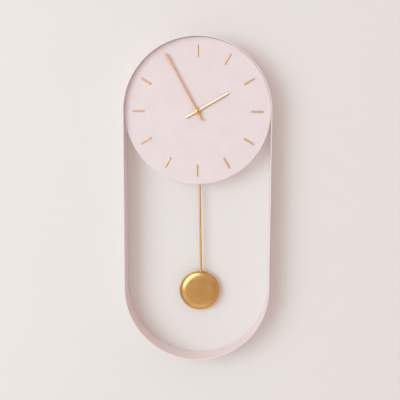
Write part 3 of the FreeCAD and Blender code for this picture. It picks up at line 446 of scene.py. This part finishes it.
def keepFlats(piece, angle=40):
    # sharp edges stay crisp and flat faces stay flat under smooth shading
    piece.data.set_sharp_from_angle(angle=math.radians(angle))
    weighted = piece.modifiers.new("flats", "WEIGHTED_NORMAL")
    weighted.keep_sharp = True
    return piece


def gridFaces(rows, columns, wrapRows=False, wrapColumns=True):
    # quads between rows of points, each row with the same number of points
    faces = []
    for row in range(rows if wrapRows else rows - 1):
        for column in range(columns if wrapColumns else columns - 1):
            nextRow, nextColumn = (row + 1) % rows, (column + 1) % columns
            faces.append((
                row * columns + column,
                row * columns + nextColumn,
                nextRow * columns + nextColumn,
                nextRow * columns + column,
            ))
    return faces


def turned(profile, centre, steps=96):
    # a profile of (radius, distance towards the front) spun about an axis that runs front to back;
    # a radius of 0 at either end closes it with a fan
    vertices, rings = [], []
    for radius, ahead in profile:
        if radius < 1e-9:
            rings.append([len(vertices)])
            vertices.append(centre + Vector((0, -ahead, 0)))
            continue
        ring = []
        for step in range(steps):
            angle = 2 * math.pi * step / steps
            ring.append(len(vertices))
            vertices.append(centre + Vector((radius * math.cos(angle), -ahead, radius * math.sin(angle))))
        rings.append(ring)
    faces = []
    for lower, upper in zip(rings, rings[1:]):
        for step in range(steps):
            after = (step + 1) % steps
            corners = [lower[step % len(lower)], lower[after % len(lower)]]
            corners += [upper[after % len(upper)], upper[step % len(upper)]]
            faces.append(tuple(dict.fromkeys(corners)))
    return vertices, faces


def turnedRing(profile, centre, steps=96):
    # the same for a profile that closes on itself
    vertices, faces = turned(profile, centre, steps)
    last = (len(profile) - 1) * steps
    faces += [(last + s, last + (s + 1) % steps, (s + 1) % steps, s) for s in range(steps)]
    return vertices, faces


def arcPoints(centre, radius, start, end, steps):
    # points (radius, ahead) of a corner arc, angles in degrees
    points = []
    for step in range(steps + 1):
        angle = math.radians(start + (end - start) * step / steps)
        points.append((centre[0] + radius * math.cos(angle), centre[1] + radius * math.sin(angle)))
    return points


# band

bandShape = {
    "dialGap": 0.7 * mm,         # between the dial's edge and the inside of the strip
    "lip": 0.35 * mm,            # rounding of the strip's edges
    "lipSteps": 3,
    "arcSteps": 120,
    "sideSteps": 40,
    "depthSteps": 6,
}


def capsulePath():
    # centre line positions with their outward directions, once round
    path = []
    for step in range(bandShape["arcSteps"]):
        angle = math.pi * step / bandShape["arcSteps"]
        path.append((dialCentre, Vector((math.cos(angle), 0, math.sin(angle)))))
    for step in range(bandShape["sideSteps"]):
        share = step / bandShape["sideSteps"]
        path.append((dialCentre.lerp(lowerCentre, share), Vector((-1, 0, 0))))
    for step in range(bandShape["arcSteps"]):
        angle = math.pi * (1 + step / bandShape["arcSteps"])
        path.append((lowerCentre, Vector((math.cos(angle), 0, math.sin(angle)))))
    for step in range(bandShape["sideSteps"]):
        share = step / bandShape["sideSteps"]
        path.append((lowerCentre.lerp(dialCentre, share), Vector((1, 0, 0))))
    return path


def makeBand():
    lip = bandShape["lip"]
    thickness = bandRadius - dialHigh.x - bandShape["dialGap"]
    inner, outer = bandRadius - thickness, bandRadius
    back, front = -rearOfBand, -frontOfBand
    section = []
    corners = [
        ((outer - lip, back + lip), -90, 0),
        ((outer - lip, front - lip), 0, 90),
        ((inner + lip, front - lip), 90, 180),
        ((inner + lip, back + lip), 180, 270),
    ]
    for index, (centre, start, end) in enumerate(corners):
        section += arcPoints(centre, lip, start, end, bandShape["lipSteps"])
        if index % 2 == 0:
            side = section[-1][0]
            away = corners[index + 1][0][1]
            for step in range(1, bandShape["depthSteps"]):
                share = step / bandShape["depthSteps"]
                section.append((side, centre[1] + (away - centre[1]) * share))
    path = capsulePath()
    vertices = []
    for centre, outward in path:
        for radius, ahead in section:
            spot = centre + outward * radius
            vertices.append(Vector((spot.x, -ahead, spot.z)))
    faces = gridFaces(len(path), len(section), wrapRows=True)
    band = newPiece("bandLoop", vertices, faces, "clock", "powder_coat_rose", ["frame_band"])
    return keepFlats(band)


makeBand()
print("band made")

# dial and markers

dialShape = {"edge": 0.3 * mm, "hole": 3.7 * mm, "steps": 256}


def makeDial():
    radius, edge, hole = dialHigh.x, dialShape["edge"], dialShape["hole"]
    thickness = dialHigh.y - dialLow.y
    profile = [(hole, -thickness), (radius * 0.5, -thickness), (radius - edge, -thickness)]
    profile += arcPoints((radius - edge, edge - thickness), edge, -90, 0, 3)[1:]
    profile += arcPoints((radius - edge, -edge), edge, 0, 90, 3)
    profile += [(radius * share, 0) for share in (0.75, 0.5, 0.25)]
    profile.append((hole, 0))
    vertices, faces = turnedRing(profile, dialCentre, dialShape["steps"])
    return keepFlats(newPiece("dialDisc", vertices, faces, "clock", "dial_rose", ["dial"]))


markerShape = {
    "length": 20 * mm,
    "width": 3.3 * mm,
    "reach": 99.7 * mm,          # from the dial's centre to the marker's middle
    "edge": 0.5 * mm,            # how far in the ends round off
    "endRise": 0.45,             # share of the height that stands straight up at the ends
    "crown": 0.55,               # share of the height that the long sides lose
}


def crownedBar(shape, height, lengthSteps=8, acrossSteps=10):
    # a bar along +Z from 0 to its length with a crowned top and rounded ends, its flat back at y = 0
    length, width, edge, endRise = shape["length"], shape["width"], shape["edge"], shape["endRise"]
    ends = [edge * (1 - math.cos(math.pi / 2 * share)) for share in (0, 0.35, 0.7, 1)]
    places = ends + [edge + (length - 2 * edge) * step / lengthSteps for step in range(1, lengthSteps)]
    places += [length - end for end in reversed(ends)]
    vertices = []
    for place in places:
        fromEnd = min(place, length - place)
        lift = math.sqrt(max(0.0, 1 - (1 - min(fromEnd / edge, 1)) ** 2))
        row = [(-width / 2, 0)]
        for step in range(acrossSteps + 1):
            across = -1 + 2 * step / acrossSteps
            rise = height * (1 - shape["crown"] * across ** 4)
            row.append((across * width / 2, rise * (endRise + (1 - endRise) * lift)))
        row.append((width / 2, 0))
        vertices += [Vector((x, -y, place)) for x, y in row]
    columns = acrossSteps + 3
    faces = gridFaces(len(places), columns)
    faces.append(tuple(range(columns)))
    faces.append(tuple(range((len(places) - 1) * columns, len(places) * columns)))
    return vertices, faces


def turnedAbout(vertices, clockwise, centre):
    # clockwise as seen from the front, in degrees
    spin = Matrix.Rotation(math.radians(clockwise), 3, "Y")
    return [centre + spin @ v for v in vertices]


def makeMarkers():
    for hour in range(1, 13):
        node = f"hour_marker_{hour:02d}"
        low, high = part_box(node)
        vertices, faces = crownedBar(markerShape, high.y - low.y)
        start = markerShape["reach"] - markerShape["length"] / 2
        lifted = [v + Vector((0, 0, start)) for v in vertices]
        placed = turnedAbout(lifted, 360 / 12 * hour, dialCentre)
        marker = newPiece(f"marker{hour:02d}", placed, faces, "clock", "rose_gold_satin", [node])
        keepFlats(marker, 50)


makeDial()
makeMarkers()
print("dial and markers made")

# hands

handShapes = {
    "hour_hand": {
        "body": "hour",
        "angle": 59.8,               # degrees clockwise from twelve
        "reach": 59 * mm,
        "tail": 21.5 * mm,
        "width": 3.6 * mm,
        "eye": 5 * mm,
        "eyeRound": 0.35 * mm,
        "bore": 3.1 * mm,
        "side": 0.3,                 # share of the thickness that the upright sides take
    },
    "minute_hand": {
        "body": "minute",
        "angle": -28.8,
        "reach": 108 * mm,
        "tail": 17.5 * mm,
        "width": 3.2 * mm,
        "eye": 4.4 * mm,
        "eyeRound": 0.35 * mm,
        "bore": 1.4 * mm,
        "side": 0.3,
    },
}


def joined(*parts):
    # several (vertices, faces) pairs as one
    vertices, faces = [], []
    for someVertices, someFaces in parts:
        start = len(vertices)
        vertices += list(someVertices)
        faces += [tuple(start + i for i in face) for face in someFaces]
    return vertices, faces


def ridgedBar(start, end, width, height, side, ridge=0.12, steps=24):
    # a bar along +Z with two long slopes that meet near its middle; ridge is the flat top's share
    section = [(-0.5, 0), (-0.5, side), (-ridge / 2, 1), (ridge / 2, 1), (0.5, side), (0.5, 0)]
    vertices = []
    for step in range(steps + 1):
        place = start + (end - start) * step / steps
        vertices += [Vector((x * width, -y * height, place)) for x, y in section]
    columns = len(section)
    faces = gridFaces(steps + 1, columns)
    faces.append(tuple(range(columns)))
    faces.append(tuple(range(steps * columns, (steps + 1) * columns)))
    return vertices, faces


def ringProfile(bore, radius, height, edge):
    # closed profile of a flat ring with rounded front edges
    profile = [(bore, 0), (radius, 0), (radius, height - edge)]
    profile += arcPoints((radius - edge, height - edge), edge, 0, 90, 4)[1:]
    profile += arcPoints((bore + edge / 2, height - edge / 2), edge / 2, 90, 180, 3)
    return profile


def makeHand(node, shape):
    low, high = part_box(node)
    thickness = high.y - low.y
    centre = Vector((0, high.y, dialCentre.z))
    bar = ridgedBar(-shape["tail"], shape["reach"], shape["width"], thickness, shape["side"])
    placed = turnedAbout(bar[0], shape["angle"], centre)
    profile = ringProfile(shape["bore"], shape["eye"], thickness, shape["eyeRound"])
    hand = newPiece(
        node.replace("_hand", "Hand"),
        *joined((placed, bar[1]), turnedRing(profile, centre)),
        shape["body"],
        "rose_gold_satin",
        [node],
    )
    hand.data.materials[0] = handFinish
    return keepFlats(hand, 25)


capShape = {
    "bore": 1.4 * mm,
    "foot": 0.5 * mm,
    "footRound": 0.1 * mm,
    "step": 0.25 * mm,           # how far the dome stands in from the foot
    "flat": 0.9 * mm,            # upright side below the dome
    "steps": 64,
    "domeSteps": 12,
}


def makeHandNut():
    # a closed cap nut: a thin foot, a small step and a dome
    low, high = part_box("hand_nut")
    centre = Vector((0, high.y, dialCentre.z))
    radius, height = (high.x - low.x) / 2, high.y - low.y
    foot, side = capShape["foot"], capShape["foot"] + capShape["flat"]
    domeRadius, domeSteps = radius - capShape["step"], capShape["domeSteps"]
    profile = [(capShape["bore"], 0), (radius, 0), (radius, foot * 0.6)]
    profile += [(radius - capShape["footRound"], foot), (domeRadius, foot), (domeRadius, side)]
    for step in range(1, domeSteps):
        angle = math.pi / 2 * step / domeSteps
        profile.append((domeRadius * math.cos(angle), side + (height - side) * math.sin(angle)))
    profile.append((0, height))
    vertices, faces = turned(profile, centre, capShape["steps"])
    faces.append(tuple(range(capShape["steps"])))
    cap = newPiece("handNut", vertices, faces, "minute", "cap_brass", ["hand_nut"])
    return keepFlats(cap)


for handNode, handShape in handShapes.items():
    makeHand(handNode, handShape)
makeHandNut()
print("hands made")

# bob

bobShape = {
    "flange": 1.6 * mm,          # rolled rim that stands out around the pillow
    "flangeHeight": 1.3 * mm,
    "flangeRound": 0.9 * mm,
    "flangeDip": 0.1 * mm,       # small groove where the rim meets the pillow
    "seamRound": 0.3 * mm,
    "shoulder": 13 * mm,         # how far in the rounding of the pillow reaches
    "shoulderPower": 0.9,        # below 1 the shoulder rises sooner than a quarter circle does
    "shoulderSteps": 24,
    "crown": 0.35 * mm,          # rise of the nearly flat middle
    "crownSteps": 8,
    "backInset": 0.2 * mm,       # the rear cup stands in from the rim
    "backShoulder": 6 * mm,
    "backSteps": 16,
    "steps": 128,
}


def bobFrontProfile(radius, height):
    shape = bobShape
    flangeHeight, flangeRound, seamRound = shape["flangeHeight"], shape["flangeRound"], shape["seamRound"]
    profile = [(radius * 0.5, 0), (radius - seamRound, 0)]
    profile += arcPoints((radius - seamRound, seamRound), seamRound, -90, 0, 3)[1:]
    rimHeight = flangeHeight - flangeRound
    profile.append((radius, rimHeight))
    profile += arcPoints((radius - flangeRound, rimHeight), flangeRound, 0, 90, 8)[1:]
    wallRadius = radius - shape["flange"]
    profile.append((wallRadius, flangeHeight - shape["flangeDip"]))
    rise = height - shape["crown"] - flangeHeight
    for step in range(1, shape["shoulderSteps"] + 1):
        angle = math.pi / 2 * step / shape["shoulderSteps"]
        across = wallRadius - shape["shoulder"] * (1 - math.cos(angle))
        profile.append((across, flangeHeight + rise * math.sin(angle) ** shape["shoulderPower"]))
    inner = wallRadius - shape["shoulder"]
    for step in range(1, shape["crownSteps"]):
        share = 1 - step / shape["crownSteps"]
        profile.append((inner * share, height - shape["crown"] * share ** 2))
    profile.append((0, height))
    return profile


def bobBackProfile(radius, depth):
    inset, shoulder, seamRound = bobShape["backInset"], bobShape["backShoulder"], bobShape["seamRound"]
    profile = [(radius * 0.5, 0), (radius - inset - seamRound, 0), (radius - inset, seamRound)]
    for step in range(1, bobShape["backSteps"] + 1):
        angle = math.pi / 2 * step / bobShape["backSteps"]
        profile.append((radius - inset - shoulder * (1 - math.cos(angle)), depth * math.sin(angle)))
    inner = radius - inset - shoulder
    profile += [(inner * share, depth) for share in (0.75, 0.5, 0.25, 0)]
    return [(across, -behind) for across, behind in profile]


def makeBob():
    # two cups that meet on a seam; each is closed by a flat face inside the bob
    radius, steps = (bobHigh.z - bobLow.z) / 2, bobShape["steps"]
    backLow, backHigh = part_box("bob_back")
    cups = {
        "bobFront": (bobFrontProfile(radius, bobHigh.y - bobLow.y), "bob_front"),
        "bobBack": (bobBackProfile(radius, backHigh.y - backLow.y), "bob_back"),
    }
    for name, (profile, node) in cups.items():
        vertices, faces = turned(profile, bobCentre, steps)
        faces.append(tuple(range(steps)))
        cup = newPiece(name, vertices, faces, "pendulum", "bob_brass", [node])
        keepFlats(cup, 50)


makeBob()
print("bob made")

# small bevels on the pieces that keep their own shape

bevelWidths = {                  # metres; what each edge would carry in real life
    "movement_case": 0.35 * mm,
    "back_cover": 0.3 * mm,
    "setting_knob": 0.15 * mm,
    "hanger_plate": 0.15 * mm,
    "fixing_nut": 0.2 * mm,
    "fixing_washer": 0.06 * mm,
    "rubber_gasket": 0.15 * mm,
    "dial_tab_left": 0.15 * mm,
    "dial_tab_right": 0.15 * mm,
    "dial_tab_upper_left": 0.15 * mm,
    "dial_tab_upper_right": 0.15 * mm,
    "pendulum_leaf": 0.2 * mm,
    "pendulum_pivot_pin": 0.1 * mm,
    "pendulum_magnet": 0.2 * mm,
    "battery": 0.5 * mm,
    "battery_contact_plus": 0.08 * mm,
    "battery_contact_minus": 0.08 * mm,
    "cover_screws": 0.08 * mm,
}
for nodeName, width in bevelWidths.items():
    bevel = nodes[nodeName].modifiers.new("edges", "BEVEL")
    bevel.width = width
    bevel.segments = 2
    bevel.limit_method = "ANGLE"
    bevel.angle_limit = math.radians(40)
    bevel.harden_normals = True
print("bevels added")

# camera

viewpoint = {
    "place": Vector((84.1, -1341.3, -66.9)) * mm,
    "turnLeft": 3.455,           # degrees
    "lookDown": 8.08,
    "roll": 0.285,
    "lens": 70.02,
}


def makeCamera():
    data = bpy.data.cameras.new("camera")
    data.sensor_width = 36
    data.lens = viewpoint["lens"]
    data.clip_start, data.clip_end = 0.01, 50
    camera = bpy.data.objects.new("camera", data)
    bpy.context.scene.collection.objects.link(camera)
    turn = Matrix.Rotation(math.radians(viewpoint["turnLeft"]), 4, "Z")
    tip = Matrix.Rotation(math.radians(90 - viewpoint["lookDown"]), 4, "X")
    roll = Matrix.Rotation(math.radians(viewpoint["roll"]), 4, "Z")
    camera.matrix_world = Matrix.Translation(viewpoint["place"]) @ turn @ tip @ roll
    bpy.context.scene.camera = camera


makeCamera()

# wall, floor and light

handPieces = ("hourHand", "minuteHand", "handNut", "pendulum_rod")
bobPieces = ("bobFront", "bobBack")
# what shows its back and its front at once, and what would shade the clock from behind
seenFromBothSides = ("wall", "floor", "bandLoop", "frame_band", "bobFront", "bob_front", "pendulum_rod")

studio = {
    "wall": "#E8E4E1",
    "wallSize": 12.0,
    "wallGap": 0.3 * mm,         # the wall stays clear of the band's rear edge
    "floorDrop": 1.3,            # from the band's lowest point
    "sky": "#FFEEEA",
    "skyLow": 0.3,               # strength of the darkest and the brightest part of the sky
    "skyHigh": 0.93,
    "skyUp": Vector((-0.25, -0.25, 0.93)),
}

lamps = {
    "key": {"place": (-2.72, -3.4, 0.5), "size": 3.2, "power": 94, "colour": "#DDF8FF"},
    # the next four stand for small reflectors beside the metal pieces, and light nothing else
    "top": {
        "place": (-1.6, -2.4, 2.3), "size": 2.8, "power": 104, "colour": "#C4D8FF", "only": bobPieces,
    },
    "under": {
        "place": (0.0, -0.6, -1.6), "size": 1.3, "power": 1.7, "colour": "#FFF6F0", "only": bobPieces,
    },
    "glint": {
        "place": (-2.2, -3.0, -0.9), "size": 2.2, "power": 16, "colour": "#FFF6F0", "only": handPieces,
    },
    "gleam": {
        "place": (-1.6, -2.4, 2.3), "size": 2.4, "power": 36, "colour": "#EAF0FF", "only": handPieces,
    },
    # lights the back of the clock through the wall
    "rear": {
        "place": (0.5, 2.4, 0.6), "size": 1.8, "power": 44, "colour": "#FFF8F2", "except": seenFromBothSides,
    },
}


def addPlane(name, corners, material):
    mesh = bpy.data.meshes.new(name)
    mesh.from_pydata(corners, [], [(0, 1, 2, 3)])
    plane = bpy.data.objects.new(name, mesh)
    bpy.context.scene.collection.objects.link(plane)
    mesh.materials.append(material)


def linkLamp(lamp, name, chosen):
    # the lamp lights only the chosen meshes
    lit = bpy.data.collections.new(name + "Lit")
    for thing in bpy.context.scene.objects:
        if thing.type == "MESH" and chosen(thing.name):
            lit.objects.link(thing)
    lamp.light_linking.receiver_collection = lit
    return lit


def addLamp(name, look, aim):
    data = bpy.data.lights.new(name, "AREA")
    data.shape = "DISK"
    data.size, data.energy = look["size"], look["power"]
    data.color = linearColour(look["colour"])[:3]
    lamp = bpy.data.objects.new(name, data)
    bpy.context.scene.collection.objects.link(lamp)
    lamp.location = look["place"]
    lamp.rotation_mode = "QUATERNION"
    lamp.rotation_quaternion = (aim - Vector(look["place"])).to_track_quat("-Z", "Y")
    if "only" in look:
        linkLamp(lamp, name, lambda piece: piece.startswith(look["only"]))
    if "except" in look:
        lit = linkLamp(lamp, name, lambda piece: piece not in look["except"])
        lamp.light_linking.blocker_collection = lit


def makeSky():
    # a pale sky that brightens smoothly from low right to high left
    world = bpy.data.worlds.new("studio")
    world.use_nodes = True
    tree = world.node_tree
    background = tree.nodes["Background"]
    background.inputs["Color"].default_value = linearColour(studio["sky"])
    direction = addNode(tree, "TexCoord").outputs["Generated"]
    up = tuple(studio["skyUp"].normalized())
    rise = addNode(tree, "VectorMath", {"operation": "DOT_PRODUCT"}, i0=direction, i1=up)
    strength = addNode(
        tree,
        "MapRange",
        Value=rise.outputs["Value"],
        From_Min=-1.0,
        From_Max=1.0,
        To_Min=studio["skyLow"],
        To_Max=studio["skyHigh"],
    )
    tree.links.new(strength.outputs["Result"], background.inputs["Strength"])
    bpy.context.scene.world = world


def makeStudio():
    half, gap, floor = studio["wallSize"] / 2, studio["wallGap"], bandLow.z - studio["floorDrop"]
    wall = [(-half, gap, floor), (half, gap, floor), (half, gap, half), (-half, gap, half)]
    addPlane("wall", wall, wallPaint("wallEmulsion", studio["wall"]))
    ground = [(-half, -half, floor), (half, -half, floor), (half, half, floor), (-half, half, floor)]
    addPlane("floor", ground, wallPaint("floorPaint", studio["wall"]))
    aim = Vector((0, 0, (bandLow.z + bandHigh.z) / 2))
    for name, look in lamps.items():
        addLamp(name, look, aim)
    makeSky()
    bpy.context.scene.view_settings.view_transform = "Standard"


makeStudio()
print("studio made")
